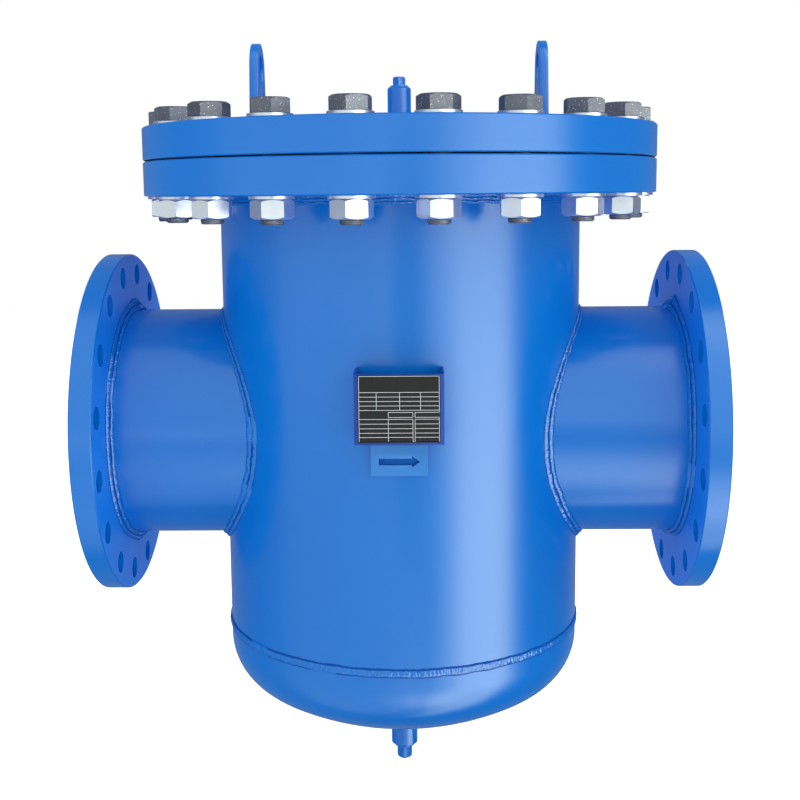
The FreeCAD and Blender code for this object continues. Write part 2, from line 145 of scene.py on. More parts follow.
makeCamera(cameraPlan)
bpy.context.scene.view_settings.view_transform = "Standard"


# Studio: a dim softbox left of the camera, a bright one right of it whose lower inner part is
# held back, black flags at both sides and grey paper behind. Azimuth 0 looks from the vessel
# to the camera, 90 to its right. Each stop holds the left box, the right one and its inner part.
studioPlan = {
    "full": 8.5,            # strength of a box at level 1
    "around": [
        (-180, 0.006, 0.034, 0), (-158, 0.008, 0.034, 0), (-132, 0.03, 0.01, 0),
        (-104, 0.028, 0, 0), (-86, 0.06, 0, 0), (-76, 0.125, 0, 0), (-62, 0.16, 0, 0),
        (-20, 0.19, 0, 0), (-4, 0.184, 0, 0.13), (6, 0.165, 0, 0.31), (16, 0.072, 0, 0.36),
        (24, 0.045, 0.08, 0.62), (32, 0.03, 0.4, 0.54), (40, 0.015, 0.88, 0.2), (50, 0, 1, 0),
        (62, 0, 1, 0), (69, 0, 0.8, 0), (78, 0, 0.16, 0), (88, 0.004, 0, 0),
        (120, 0.012, 0, 0), (150, 0.006, 0.034, 0), (180, 0.006, 0.034, 0)],
    "upward": [
        (-90, 0.12, 0.1, 0), (-78, 0.3, 0.25, 0), (-68, 0.58, 0.36, 0.1),
        (-58, 0.68, 0.46, 0.6), (-50, 0.7, 0.54, 0.95), (-40, 0.66, 0.64, 0.95),
        (-31, 0.6, 0.78, 0.72), (-24, 0.56, 0.88, 0.32), (-18, 0.58, 0.92, 0.12),
        (-13, 0.56, 0.92, 0.15), (-9, 0.8, 0.85, 0.32), (-5, 0.92, 0.7, 0.48),
        (-1.5, 0.95, 0.6, 0.45), (3, 0.68, 0.44, 0.37), (14, 0.72, 0.75, 0.35),
        (30, 0.78, 0.95, 0.34), (62, 0.88, 0.5, 0.3), (80, 0.8, 0.15, 0.05), (90, 0.5, 0.05, 0)],
    "lensAt": (0.0872, -0.9903, -0.1089),   # the dark spot where the camera stands
    "lensEdge": (0.9750, 0.9962),
    "lensDark": 0.22,
    "dome": 1.41,
    "domeTilt": (0.20, 0.27, -0.30),
    # each tint runs along an axis, from one place and colour to another: the soft light is cooler on
    # the left, the boxes in front are a little warm and the paper behind is cool
    "domeTint": ("X", -0.8, 1.0, (0.82, 0.93, 1.02, 1.0), (1.0, 1.0, 1.0, 1.0)),
    "boxTint": ("Y", -0.3, 0.3, (1.0, 1.02, 0.74, 1.0), (0.75, 0.95, 1.25, 1.0)),
}


def makeWorld(plan):
    world = bpy.data.worlds.new("studio")
    world.use_nodes = True
    world.cycles.sampling_method = "NONE"    # mirrored and soft light differ, so rays find both
    bpy.context.scene.world = world
    tree = world.node_tree
    tree.nodes.clear()
    toward = addNode(tree, "TexCoord").outputs["Generated"]
    parts = addNode(tree, "SeparateXYZ", links={0: toward}).outputs
    front = addNode(tree, "Math", {"operation": "MULTIPLY"}, {0: parts["Y"], 1: -1.0})
    azimuth = addNode(tree, "Math", {"operation": "ARCTAN2"}, {0: parts["X"], 1: front})
    height = addNode(tree, "Math", {"operation": "ARCSINE"}, {0: parts["Z"]})
    ramps = []
    for angle, stops, span in ((azimuth, plan["around"], 180), (height, plan["upward"], 90)):
        share = addNode(tree, "MapRange", links={
            "Value": angle, "From Min": -radians(span), "From Max": radians(span)})
        ramp = addNode(tree, "ValToRGB", links={"Fac": share})
        elements = ramp.color_ramp.elements
        for i, (degrees, *levels) in enumerate(stops):
            place = (degrees + span) / (2 * span)
            element = elements[i] if i < 2 else elements.new(place)
            element.position = place
            element.color = (*levels, 1.0)
        ramps.append(ramp.outputs["Color"])
    boxes = addNode(tree, "VectorMath", {"operation": "DOT_PRODUCT"}, {0: ramps[0], 1: ramps[1]})
    lens = addNode(tree, "VectorMath", {"operation": "DOT_PRODUCT"}, {0: toward, 1: plan["lensAt"]})
    spot = addNode(tree, "MapRange", {"interpolation_type": "SMOOTHSTEP"}, {
        "Value": lens.outputs["Value"], "From Min": plan["lensEdge"][0], "From Max": plan["lensEdge"][1],
        "To Min": plan["full"], "To Max": plan["full"] * plan["lensDark"]})
    gloss = addNode(tree, "Math", {"operation": "MULTIPLY"}, {0: boxes.outputs["Value"], 1: spot})
    lean = addNode(tree, "VectorMath", {"operation": "DOT_PRODUCT"}, {0: toward, 1: plan["domeTilt"]})
    soft = addNode(tree, "Math", {"operation": "ADD"}, {0: lean.outputs["Value"], 1: plan["dome"]})
    tints = []
    for axis, start, end, first, second in (plan["domeTint"], plan["boxTint"]):
        share = addNode(tree, "MapRange", links={"Value": parts[axis], "From Min": start, "From Max": end})
        tint = addNode(tree, "Mix", {"data_type": "RGBA"}, {"Factor": share, 6: first, 7: second})
        tints.append(tint.outputs[2])
    dome, mirrored, paper = [
        addNode(tree, "Background", links={"Color": colour, "Strength": level})
        for colour, level in ((tints[0], soft), (tints[1], gloss), ([1.0] * 4, 1.0))]
    path = addNode(tree, "LightPath")
    shown = addNode(tree, "Math", {"operation": "MAXIMUM"}, {
        0: path.outputs["Is Glossy Ray"], 1: path.outputs["Is Transmission Ray"]})
    lit = addNode(tree, "MixShader", links={0: shown, 1: dome, 2: mirrored})
    seen = addNode(tree, "MixShader", links={0: path.outputs["Is Camera Ray"], 1: lit, 2: paper})
    addNode(tree, "OutputWorld", links={"Surface": seen})


makeWorld(studioPlan)


# Floor: pale paper, low enough for the drain plug to be drawn out
floorPlan = {"half": 7.0, "paper": "#f4f4f2", "glow": 0.60, "below": 0.0400}


def makeFloor(plan):
    half, height = plan["half"], cadBox[0].z - plan["below"]
    mesh = bpy.data.meshes.new("floor")
    corners = ((-1, -1), (1, -1), (1, 1), (-1, 1))
    mesh.from_pydata([(vesselX + i * half, j * half, height) for i, j in corners], [], [(0, 1, 2, 3)])
    # matt paper: the camera sees it as white, with the vessel's soft shadow left in it
    material = bpy.data.materials.new("mattPaper")
    material.use_nodes = True
    tree = material.node_tree
    tree.nodes.clear()
    paper = addNode(tree, "BsdfDiffuse", links={"Color": linear(plan["paper"])})
    glow = addNode(tree, "Emission", links={"Strength": plan["glow"]})
    both = addNode(tree, "AddShader", links={0: paper, 1: glow})
    clear = addNode(tree, "BsdfTransparent")
    path = addNode(tree, "LightPath")
    seen = addNode(tree, "MixShader", links={0: path.outputs["Is Camera Ray"], 1: paper, 2: both})
    mirrored = addNode(tree, "MixShader", links={0: path.outputs["Is Glossy Ray"], 1: seen, 2: clear})
    addNode(tree, "OutputMaterial", links={"Surface": mirrored})
    mesh.materials.append(material)
    addObject("floor", mesh)


makeFloor(floorPlan)
print("camera, studio and floor made")


# Materials
def newMaterial(name, patterns, **sockets):
    # a pattern is its size in metres, the noise's inputs and, where it is drawn out, a stretch
    material = bpy.data.materials.new(name)
    material.use_nodes = True
    tree = material.node_tree
    shader = tree.nodes["Principled BSDF"].inputs
    for key, value in sockets.items():
        shader[key.replace("_", " ")].default_value = value
    place = addNode(tree, "TexCoord").outputs["Object"]
    fields = []
    for size, inputs, *stretch in patterns:
        drawn = place
        for scale in stretch:
            drawn = addNode(tree, "Mapping", links={"Vector": place, "Scale": scale})
        field = addNode(tree, "TexNoise", links={"Vector": drawn, "Scale": 1 / size, **inputs})
        fields.append(field.outputs["Fac"])
    return material, tree, shader, place, fields


def dress(tree, shader, field, colours, rough, bumps):
    # the field picks between two colours and two roughnesses, and each bump, a height with its
    # depth in metres, lies on the one before
    colour = addNode(tree, "Mix", {"data_type": "RGBA"}, {
        "Factor": field, 6: linear(colours[0]), 7: linear(colours[1])}).outputs[2]
    tree.links.new(colour, shader["Base Color"])
    if rough:
        level = addNode(tree, "MapRange", links={"Value": field, "To Min": rough[0], "To Max": rough[1]})
        tree.links.new(level.outputs[0], shader["Roughness"])
    under = {}
    for height, depth in bumps:
        bump = addNode(tree, "Bump", links={"Height": height, "Distance": depth, "Strength": 1.0, **under})
        under = {"Normal": bump.outputs[0]}
    for normal in under.values():
        tree.links.new(normal, shader["Normal"])
    return colour


def makeFinish(name, patterns, colours, rough=None, bumps=(), **sockets):
    # the first pattern picks the colour, and each bump gives its pattern's number and a depth
    material, tree, shader, _, fields = newMaterial(name, patterns, **sockets)
    dress(tree, shader, fields[0], colours, rough, [(fields[k], depth) for k, depth in bumps])
    return material


enamelPlan = {
    "blues": ("#0477d3", "#0371cb"),
    "cloud": 0.14,          # metres across a patch of slightly thinner paint
    "peel": 0.0035,         # orange peel, drawn as coarse as sprayed enamel has it
    "peelDepth": 0.000012,
    "wave": 0.055,          # the sheet's own unevenness under the paint
    "waveDepth": 0.00016,
}


def makeEnamel(name, blues=enamelPlan["blues"], rough=0.21, plan=enamelPlan, **sockets):
    # two-pack machine enamel, sprayed: one even gloss over blue, with fine orange peel and the
    # slow waves of rolled plate under it
    details = (("cloud", 2.0), ("wave", 1.0), ("peel", 1.0))
    patterns = [(plan[key], {"Detail": detail}) for key, detail in details]
    return makeFinish(name, patterns, blues, None, [(1, plan["waveDepth"]), (2, plan["peelDepth"])],
                      Roughness=rough, **sockets)


def makeTurnedSteel(name, pitch, flat):
    # bare turned steel: fine concentric tool marks about the axis it was turned on, dulled by air
    material, tree, shader, place, (cloud,) = newMaterial(name, [(1 / 18, {"Detail": 3.0})], Metallic=1.0)
    centred = addNode(tree, "VectorMath", {"operation": "SUBTRACT"}, {0: place, 1: tuple(axisPoint)})
    flattened = addNode(tree, "VectorMath", {"operation": "MULTIPLY"}, {0: centred, 1: flat})
    radius = addNode(tree, "VectorMath", {"operation": "LENGTH"}, {0: flattened})
    turns = addNode(tree, "Math", {"operation": "DIVIDE"}, {0: radius.outputs["Value"], 1: pitch})
    ridge = addNode(tree, "Math", {"operation": "PINGPONG"}, {0: turns, 1: 0.5})
    dress(tree, shader, cloud, ("#7c7e8e", "#9799aa"), (0.3, 0.46), [(ridge.outputs[0], pitch * 0.1)])
    return material


def makeBoltSteel():
    # quenched bolt steel, phosphated: matt slate grey, cloudy, with bright nicks from spanners
    material, tree, shader, _, (cloud, nick) = newMaterial("phosphatedSteel", [
        (0.011, {"Detail": 5.0, "Roughness": 0.62}), (0.0014, {"Detail": 2.5})], Metallic=0.75)
    dull = dress(tree, shader, cloud, ("#54586b", "#6d7188"), (0.46, 0.62), [(cloud, 0.0002), (nick, 0.00012)])
    nicks = addNode(tree, "MapRange", links={"Value": nick, "From Min": 0.668, "From Max": 0.715})
    colour = addNode(tree, "Mix", {"data_type": "RGBA"}, {"Factor": nicks, 6: dull, 7: linear("#fbfcfd")})
    tree.links.new(colour.outputs[2], shader["Base Color"])
    return material


def makeSealTape():
    # thin white fluoropolymer tape wound on a thread: waxy, in fine overlapping turns
    material, tree, shader, place, _ = newMaterial("woundSealTape", [], Roughness=0.5)
    turns = addNode(tree, "TexWave", {"wave_type": "BANDS", "bands_direction": "Z"}, {
        "Vector": place, "Scale": 1 / (0.0018 * 20), "Distortion": 0.6}).outputs["Fac"]
    dress(tree, shader, turns, ("#e4e4de", "#f7f7f4"), None, [(turns, 0.0002)])
    return material


enamel = makeEnamel("blueMachineEnamel")
# painted shade: a darker, duller blue for the arrow's recess, where shade falls
recessShadeEnamel = makeEnamel("blueEnamelPaintedShadeInRecess", ("#0a5cb4", "#0a54a6"), 0.6, Specular_IOR_Level=0.15)
# painted shade: a darker blue on the nameplate bracket, standing in for the shade between bracket, plate and
# shell
bracketShadeEnamel = makeEnamel("blueEnamelPaintedShadeOnBracket", ("#0d46a8", "#0c3f9a"), 0.45, Specular_IOR_Level=0.3)
# painted light: a brighter, duller blue on the flange backs, standing in for light bounced onto them
flangeBackLightEnamel = makeEnamel("blueEnamelPaintedLightOnFlangeBacks", ("#118aee", "#0f84e6"), 0.4,
                        Specular_IOR_Level=0.3)
weldEnamel = makeEnamel("blueEnamelOnWelds", rough=0.11)
# painted shade: a darker, duller blue along the weld toes, standing in for the shade where a bead meets its
# plate
toeShadeEnamel = makeEnamel("blueEnamelPaintedShadeAlongToes", ("#0a53aa", "#084b9e"), 0.6, Specular_IOR_Level=0.1)
arrowEnamel = makeEnamel("blueEnamelOnArrowPlate", ("#2f88dc", "#2b84d6"), 0.3)
pipeFaceSteel = makeTurnedSteel("turnedSteelPipeFace", 0.0024, (0, 1, 1))     # real marks are 0.8 mm apart
coverFaceSteel = makeTurnedSteel("turnedSteelCoverFace", 0.0028, (1, 1, 0))   # and drawn coarser to show
boltSteel = makeBoltSteel()
sealTape = makeSealTape()
# bright passivated zinc plating: near-white metal, a little cloudy, softly mirroring
zinc = makeFinish("passivatedZinc", [(0.014, {"Detail": 3.0}), (0.0016, {"Detail": 2.0})],
                  ("#bdc7e8", "#d0d8f4"), (0.24, 0.36), [(1, 0.00003)], Metallic=0.8)
# compressed fibre sheet with graphite: dull charcoal with short fibres showing
jointSheet = makeFinish("graphiteFibreSheet", [(0.0022, {"Detail": 4.0, "Distortion": 1.5})],
                        ("#14171a", "#303338"), None, [(0, 0.0001)], Roughness=0.85)
# black anodised aluminium sheet: satin, with a hair-fine rolled grain along X
plateBlack = makeFinish("blackAnodisedAluminium", [(0.0007, {"Detail": 3.0}, (0.06, 1, 1))],
                        ("#07070f", "#121220"), None, [(0, 0.00002)], Roughness=0.45, Specular_IOR_Level=0.25)
# natural silver left where the black was masked off, for the plate's ruled lines
plateSilver = makeFinish("naturalAnodisedAluminium", [(0.004, {"Detail": 2.0})], ("#dfe3ee", "#f8f9fc"),
                         Roughness=0.5, Metallic=0.1)
# stainless sheet with a mill finish: soft grey mirror, faint smears, rolled grain along Z
stainless = makeFinish("stainlessMillFinish",
                       [(0.06, {"Detail": 4.0}), (0.0014, {"Detail": 3.0}, (1, 1, 0.05))],
                       ("#8c8d9c", "#a7a8b9"), (0.26, 0.44), [(1, 0.00003)], Metallic=1.0)
print("materials made")


# Making pieces
def addPiece(name, mesh, *materials):
    piece = addObject(name, mesh)
    mesh.materials.clear()
    for material in materials:
        mesh.materials.append(material)
    return piece


def settle(piece, body, slotName, *stoodFor):
    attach(piece, body)
    if stoodFor:
        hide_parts(*stoodFor)
    return piece


def shadeSmooth(mesh, sharp):
    mesh.polygons.foreach_set("use_smooth", [True] * len(mesh.polygons))
    mesh.set_sharp_from_angle(angle=radians(sharp))
    return mesh


def makeMesh(name, points, faces, sharp=30, merge=1e-7):
    mesh = bpy.data.meshes.new(name)
    mesh.from_pydata(points, [], faces)
    bm = bmesh.new()
    bm.from_mesh(mesh)
    if merge:
        bmesh.ops.remove_doubles(bm, verts=bm.verts, dist=merge)
    bmesh.ops.recalc_face_normals(bm, faces=bm.faces)
    bm.to_mesh(mesh)
    bm.free()
    return shadeSmooth(mesh, sharp) if sharp else mesh


def roundNormals(mesh, axis):
    # each facet of a curved wall counts once, so long thin triangles leave no streaks; a wall that
    # runs round the axis is shaded straight out from it
    limit, wallFacing, same = cos(radians(34)), 0.985, 0.99999
    around = [[] for _ in mesh.vertices]
    facets = [(p.normal.copy(), p.center.copy(), p.loop_start, p.loop_total) for p in mesh.polygons]
    corners = [loop.vertex_index for loop in mesh.loops]
    for normal, _, start, count in facets:
        for i in range(start, start + count):
            around[corners[i]].append(normal)

    def radial(point):
        out = point - axisPoint
        return (out - axis * out.dot(axis)).normalized()

    normals = [None] * len(corners)
    for normal, centre, start, count in facets:
        facing = axis and abs(normal.dot(radial(centre))) > wallFacing
        for i in range(start, start + count):
            if facing:
                out = radial(mesh.vertices[corners[i]].co)
                normals[i] = out if out.dot(normal) > 0 else -out
                continue
            distinct = []
            for other in around[corners[i]]:
                if other.dot(normal) > limit and all(other.dot(d) < same for d in distinct):
                    distinct.append(other)
            normals[i] = sum(distinct, Vector((0, 0, 0))).normalized()
    mesh.polygons.foreach_set("use_smooth", [True] * len(mesh.polygons))
    mesh.normals_split_custom_set(normals)


def applyModifiers(piece):
    piece.data = bpy.data.meshes.new_from_object(piece.evaluated_get(bpy.context.evaluated_depsgraph_get()))
    piece.modifiers.clear()
    return piece


def solidCopy(node, name, material, axis=None, bevel=0.0):
    # the node's own shape, its loose triangles joined, with round shading or small soft edges
    bm = bmesh.new()
    bm.from_mesh(nodes[node].data)
    bmesh.ops.remove_doubles(bm, verts=bm.verts, dist=1e-6)
    bmesh.ops.dissolve_limit(bm, angle_limit=radians(0.04), verts=bm.verts, edges=bm.edges)
    mesh = bpy.data.meshes.new(name)
    bm.to_mesh(mesh)
    bm.free()
    piece = addPiece(name, mesh, material)
    if bevel:
        edge = piece.modifiers.new("softEdge", "BEVEL")
        edge.width = bevel
        edge.segments = 2
        edge.limit_method = "ANGLE"
        edge.angle_limit = radians(40)
        shadeSmooth(applyModifiers(piece).data, 32)
    else:
        roundNormals(mesh, axis)
    return piece


def secondFinish(piece, material, choose):
    # another material on the faces that choose picks
    piece.data.materials.append(material)
    for face in piece.data.polygons:
        if choose(face):
            face.material_index = len(piece.data.materials) - 1


paintedPlan = {     # node: piece, body, axis of its round walls, soft edge
    "shell": ("shellDrum", "vessel", up, 0), "dished_end": ("dishedEnd", "vessel", None, 0),
    "body_flange": ("bodyFlange", "vessel", up, 0), "lid": ("coverLid", "lid", up, 0),
    "inlet_nozzle": ("inletPipe", "vessel", along, 0), "outlet_nozzle": ("outletPipe", "vessel", along, 0),
    "inlet_flange": ("inletFlange", "vessel", along, 0),
    "outlet_flange": ("outletFlange", "vessel", along, 0),
    "seat_plate": ("seatPlate", "vessel", None, 0), "drain_socket": ("drainSocket", "vessel", up, 0),
    "vent_socket": ("ventSocket", "lid", up, 0),
    "lug_inlet_side": ("liftingLugInlet", "lid", None, 0.0012),
    "lug_outlet_side": ("liftingLugOutlet", "lid", None, 0.0012),
    "nameplate_bracket": ("plateBracket", "vessel", None, 0.0004),
    "arrow_plate": ("arrowPlate", "vessel", None, 0.0004),
    "vent_plug": ("ventPlug", "vent_plug", None, 0.0005),
    "drain_plug": ("drainPlug", "drain_plug", None, 0.0005),
}
painted = {}
for node, (pieceName, body, axis, bevel) in paintedPlan.items():
    slotName = "plug_steel" if node.endswith("plug") else "blue_paint"
    coat = {"nameplate_bracket": bracketShadeEnamel, "arrow_plate": arrowEnamel}.get(node, enamel)
    painted[node] = settle(solidCopy(node, pieceName, coat, axis, bevel), body, slotName, node)

faceDepth = 0.0002    # how near its node's end a face lies to count as machined, or as a back
# turned steel on the joint faces, and the painted light on the flange backs
for node, material, axis, side in (
        ("inlet_flange", pipeFaceSteel, 0, -1), ("outlet_flange", pipeFaceSteel, 0, 1),
        ("inlet_flange", flangeBackLightEnamel, 0, 1), ("outlet_flange", flangeBackLightEnamel, 0, -1),
        ("lid", coverFaceSteel, 2, -1), ("body_flange", coverFaceSteel, 2, 1)):
    end = (high(node) if side > 0 else low(node))[axis]
    secondFinish(painted[node], material, lambda face: face.normal[axis] * side > 0.99
                 and (face.center[axis] - end) * side > -faceDepth)
settle(solidCopy("gasket", "coverGasket", jointSheet, up), "vessel", "gasket_sheet", "gasket")
settle(solidCopy("vent_tape", "ventTape", sealTape, up), "vent_thread", "sealing_tape", "vent_tape")
settle(solidCopy("drain_tape", "drainTape", sealTape, up), "drain_thread", "sealing_tape", "drain_tape")

# turned rings on the raised faces, cut from each flange's own face
serrationPlan = {
    "pitch": 0.0024, "depth": 0.0003, "inner": pipeRadius, "outer": 0.1975, "around": 160,
    "groove": ((0.0, 0.0), (0.3, 0.0), (0.65, 0.9)),    # shares of the pitch and of the depth
    "sunk": 1.5,            # how far the ring reaches into the flange, in depths
}


def makeSerration(name, flangeNode, plan, face, side):
    # the flange's face steps back by the grooves' depth, and the rings fill it to the joint
    inner, outer, around = plan["inner"], plan["outer"], plan["around"]
    for vertex in painted[flangeNode].data.vertices:
        if abs(vertex.co.x - face) < 1e-5:
            vertex.co.x -= side * plan["depth"]
    count = int((outer - inner) / plan["pitch"])
    step = (outer - inner) / count
    section = [(inner, plan["sunk"])]
    section += [(inner + (i + share) * step, depth) for i in range(count) for share, depth in plan["groove"]]
    section += [(outer, 0.0), (outer, plan["sunk"])]
    points = [pipePoint(r, k * tau / around, face - side * depth * plan["depth"])
              for k in range(around) for r, depth in section]
    faces = quads(around, len(section), True)
    settle(addPiece(name, makeMesh(name, points, faces, 20), pipeFaceSteel), "vessel", "blue_paint")


makeSerration("inletFaceRings", "inlet_flange", serrationPlan, low("inlet_flange").x, -1)
makeSerration("outletFaceRings", "outlet_flange", serrationPlan, high("outlet_flange").x, 1)

# a darker patch on the shell's wall where the arrow is cut out of its plate: painted shade in the recess
arrowShadePlan = {"proud": 0.0006, "shadeTo": 0.0004, "across": (-0.0300, 0.0314), "upright": (-0.0200, 0.0064)}


def makeArrowShade(plan):
    points, faces, steps = [], [], 24
    for k in range(steps + 1):
        x = plan["across"][0] + (plan["across"][1] - plan["across"][0]) * k / steps
        angle = asin(x / shellRadius)
        for off in (plan["proud"] - plan["shadeTo"], plan["proud"]):
            for z in plan["upright"]:
                r = shellRadius + off
                points.append((vesselX + r * sin(angle), -r * cos(angle), z))
    for k in range(steps):
        a, b = 4 * k, 4 * k + 4
        faces += [(a + i, a + j, b + j, b + i) for i, j in ((0, 1), (1, 3), (3, 2), (2, 0))]
    faces += [(0, 1, 3, 2), (4 * steps, 4 * steps + 1, 4 * steps + 3, 4 * steps + 2)]
    settle(addPiece("arrowWall", makeMesh("arrowWall", points, faces), recessShadeEnamel), "vessel", "blue_paint")


makeArrowShade(arrowShadePlan)
print("painted pieces made")


# Geometry node trees
def newTree(name, sockets):
    tree = bpy.data.node_groups.new(name, "GeometryNodeTree")
    tree.interface.new_socket("Geometry", in_out="OUTPUT", socket_type="NodeSocketGeometry")
    for label, kind in [("Geometry", "Geometry")] + sockets:
        tree.interface.new_socket(label, in_out="INPUT", socket_type="NodeSocket" + kind)
    return tree, addNode(tree, "NodeGroupInput").outputs


def endTree(tree, geometry, finish):
    real = addNode(tree, "GeometryNodeRealizeInstances", links={0: geometry})
    coated = addNode(tree, "GeometryNodeSetMaterial", links={"Geometry": real, "Material": finish})
    addNode(tree, "NodeGroupOutput", links={0: coated})


def grow(piece, tree, values):
    # runs the tree on the piece and keeps the result as a plain mesh
    modifier = piece.modifiers.new(tree.name, "NODES")
    modifier.node_group = tree
    for item in tree.interface.items_tree:
        if item.in_out == "INPUT" and item.name in values:
            modifier[item.identifier] = values[item.name]
    return applyModifiers(piece)


beadMarks = ("reach", "crown", "lane")


def makeRippleTree():
    # ripples of a hand-laid bead: one crest at each pause of the rod, uneven in height and pitch
    tree, entry = newTree("weldRipple", [(label, "Float") for label in ("Depth", "Pitch", "Lump", "Seed")]
                          + [("Finish", "Material")])
    reach, crown, lane = [addNode(tree, "GeometryNodeInputNamedAttribute", {"data_type": "FLOAT"},
                                  {"Name": mark}) for mark in beadMarks]
    place = addNode(tree, "GeometryNodeInputPosition")
    slow, fine = [addNode(tree, "TexNoise", {"noise_dimensions": "4D"}, {
        "Vector": place, "W": entry["Seed"], "Scale": scale, "Detail": detail})
        for scale, detail in ((45.0, 1.0), (260.0, 2.0))]
    spread = addNode(tree, "Math", {"operation": "SUBTRACT"}, {0: fine, 1: 0.5})
    lift = reach
    for operation, socket, others in (
            ("DIVIDE", 0, {1: entry["Pitch"]}),
            ("MULTIPLY_ADD", 2, {0: slow, 1: 4.0}),         # uneven in pitch
            ("MULTIPLY_ADD", 2, {0: lane, 1: 0.37}),        # each lane out of step with the next
            ("MULTIPLY_ADD", 2, {0: crown, 1: 0.45}),       # crests bowed forward
            ("FRACT", 0, {}), ("POWER", 0, {1: 0.7}), ("SUBTRACT", 0, {1: 0.55}),      # a rounded saw
            ("MULTIPLY", 0, {1: entry["Depth"]}), ("MULTIPLY_ADD", 2, {0: spread, 1: entry["Lump"]}),
            ("MULTIPLY", 0, {1: crown})):                   # and nothing at the toes
        lift = addNode(tree, "Math", {"operation": operation}, {socket: lift, **others})
    outward = addNode(tree, "GeometryNodeInputNormal")
    offset = addNode(tree, "VectorMath", {"operation": "SCALE"}, {0: outward, "Scale": lift})
    lifted = addNode(tree, "GeometryNodeSetPosition", links={"Geometry": entry["Geometry"], "Offset": offset})
    endTree(tree, lifted, entry["Finish"])
    return tree


rippleTree = makeRippleTree()


# Weld beads: each is swept from toe to toe, in stringers that lie side by side
weldPlan = {
    "step": 0.0008,         # between sections along a bead
    "sink": 0.0005,         # how far a toe runs under the paint of its plate
    "root": 0.0015,         # how deep a fillet's root lies in its plates
    "saddle": {"leg": 0.0082, "lanes": 2, "bulge": 0.0012, "rise": 0.0004, "wander": 0.15, "steep": 0.5,
               "root": 0.002, "topShare": 0.6},     # share of the leg that is left at the pipe's top
    "flange": {"leg": 0.0092, "lanes": 2, "bulge": 0.0013, "rise": 0.0004, "wander": 0.11, "steep": 0.5,
               # thicker and lumpy at its starts and stops, above and below
               "knot": 0.55, "knotTurn": 0.1, "knotSharp": 90, "lump": 1.6, "lumps": 26},
    "cover": {"leg": 0.0118, "lanes": 3, "bulge": 0.0011, "rise": 0.0004, "wander": 0.16, "steep": 0.6},
    "girth": {"half": 0.0066, "lanes": 1, "bulge": 0.0027, "rise": 0.0, "wander": 0.14, "steep": 0.3,
              "root": 0.004},
    "socket": {"leg": 0.0050, "lanes": 1, "bulge": 0.0010, "rise": 0.0, "wander": 0.12, "steep": 0.6},
    "lug": {"leg": 0.0078, "lanes": 1, "bulge": 0.0013, "rise": 0.0, "wander": 0.12, "steep": 0.6},
    "slowWander": 45, "fineWander": 330, "sway": 110,   # patches of the noise in a metre
    # painted shade along the toes: the darker enamel goes on faces between these crowns, except in patches
    # where the noise lies under the last value
    "toeCrown": (0.05, 0.35), "toePatches": 16, "toeUnshaded": -0.34,
    "innerSteps": 128,      # facets round a plain inner bead
}
sink = weldPlan["sink"]


def saddlePath(side):
    plan = weldPlan["saddle"]

    def at(angle, offPipe, offShell):
        y = (pipeRadius + offPipe) * cos(angle)
        z = (pipeRadius + offPipe) * sin(angle)
        return Vector((vesselX + side * sqrt((shellRadius + offShell) ** 2 - y * y), y, z))

    def path(share):
        angle = share * tau
        thin = plan["topShare"]
        here = plan["leg"] * (thin + (1 - thin) * (0.5 - 0.5 * sin(angle)))
        return at(angle, -sink, here), at(angle, here, -sink), at(angle, -plan["root"], -plan["root"])
    return path


def filletPath(kind, point, radius, level, side):
    # round a tube at a plate, on the plate's upper side for 1 and its lower one for -1
    plan, root = weldPlan[kind], weldPlan["root"]

    def path(share):
        angle = share * tau
        leg = plan["leg"]
        if "knot" in plan:
            knot = plan["knot"] * abs(sin(angle + side * plan["knotTurn"])) ** plan["knotSharp"]
            lump = noise.noise(Vector((cos(angle), sin(angle), side)) * plan["lumps"])
            leg *= 1 + knot * (1 + plan["lump"] * lump)
        return (point(radius + leg, angle, level - side * sink),
                point(radius - sink, angle, level + side * leg),
                point(radius - root, angle, level - side * root))
    return path


def girthPath(share):
    plan, angle = weldPlan["girth"], share * tau
    return (ringPoint(shellRadius - sink, angle, girthLevel + plan["half"]),
            ringPoint(shellRadius - sink, angle, girthLevel - plan["half"]),
            ringPoint(shellRadius - plan["root"], angle, girthLevel))


def lugPath(x, side):
    leg, root = weldPlan["lug"]["leg"], weldPlan["root"]

    def path(share):
        y = lugHalf * (2 * share - 1)
        return (Vector((x + side * leg, y, coverTop - sink)), Vector((x - side * sink, y, coverTop + leg)),
                Vector((x - side * root, y, coverTop - root)))
    return path


def beadRows(plan, path, length, closed, seed):
    # rings of points from toe to toe and back over the root, with the marks that the tree reads
    count = int(length / weldPlan["step"])
    steps = 6 if plan["lanes"] > 1 else 10
    rings, marks = [], []
    reach, last = 0.0, None
    for i in range(count):
        *ends, root = path(i / count if closed else i / (count - 1))
        centre = (ends[0] + ends[1]) / 2
        if last is not None:
            reach += (centre - last).length
        last, toes = centre, []
        for toe, slow, fine in zip(ends, (Vector((seed, 0, 0)), Vector((seed, 9, 0))),
                                   (Vector((0, seed, 0)), Vector((5, seed, 0)))):
            wander = (noise.noise(centre * weldPlan["slowWander"] + slow)
                      + 0.5 * noise.noise(centre * weldPlan["fineWander"] + fine))
            toes.append(root + (toe - root) * (1 + plan["wander"] * wander))
        run, outward = toes[1] - toes[0], ((toes[0] + toes[1]) / 2 - root).normalized()
        ring, mark = [], []
        for lane in range(plan["lanes"]):
            spot = centre * weldPlan["sway"] + Vector((0, seed + 3.7 * lane, 0))
            sway = 0.6 * plan["wander"] * noise.noise(spot)
            for step in range(steps + (lane == plan["lanes"] - 1)):
                local = step / steps
                share = (lane + local) / plan["lanes"]
                crown = max(0.0, sin(pi * local))
                share += sway * sin(pi * share)
                lift = plan["rise"] * sin(pi * share) + plan["bulge"] * crown ** plan["steep"]
                ring.append(toes[0] + run * share + outward * lift)
                mark.append((reach, crown, float(lane)))
        rings.append(ring + [root])
        marks.append(mark + [(reach, 0.0, 0.0)])
    return rings, marks, closed


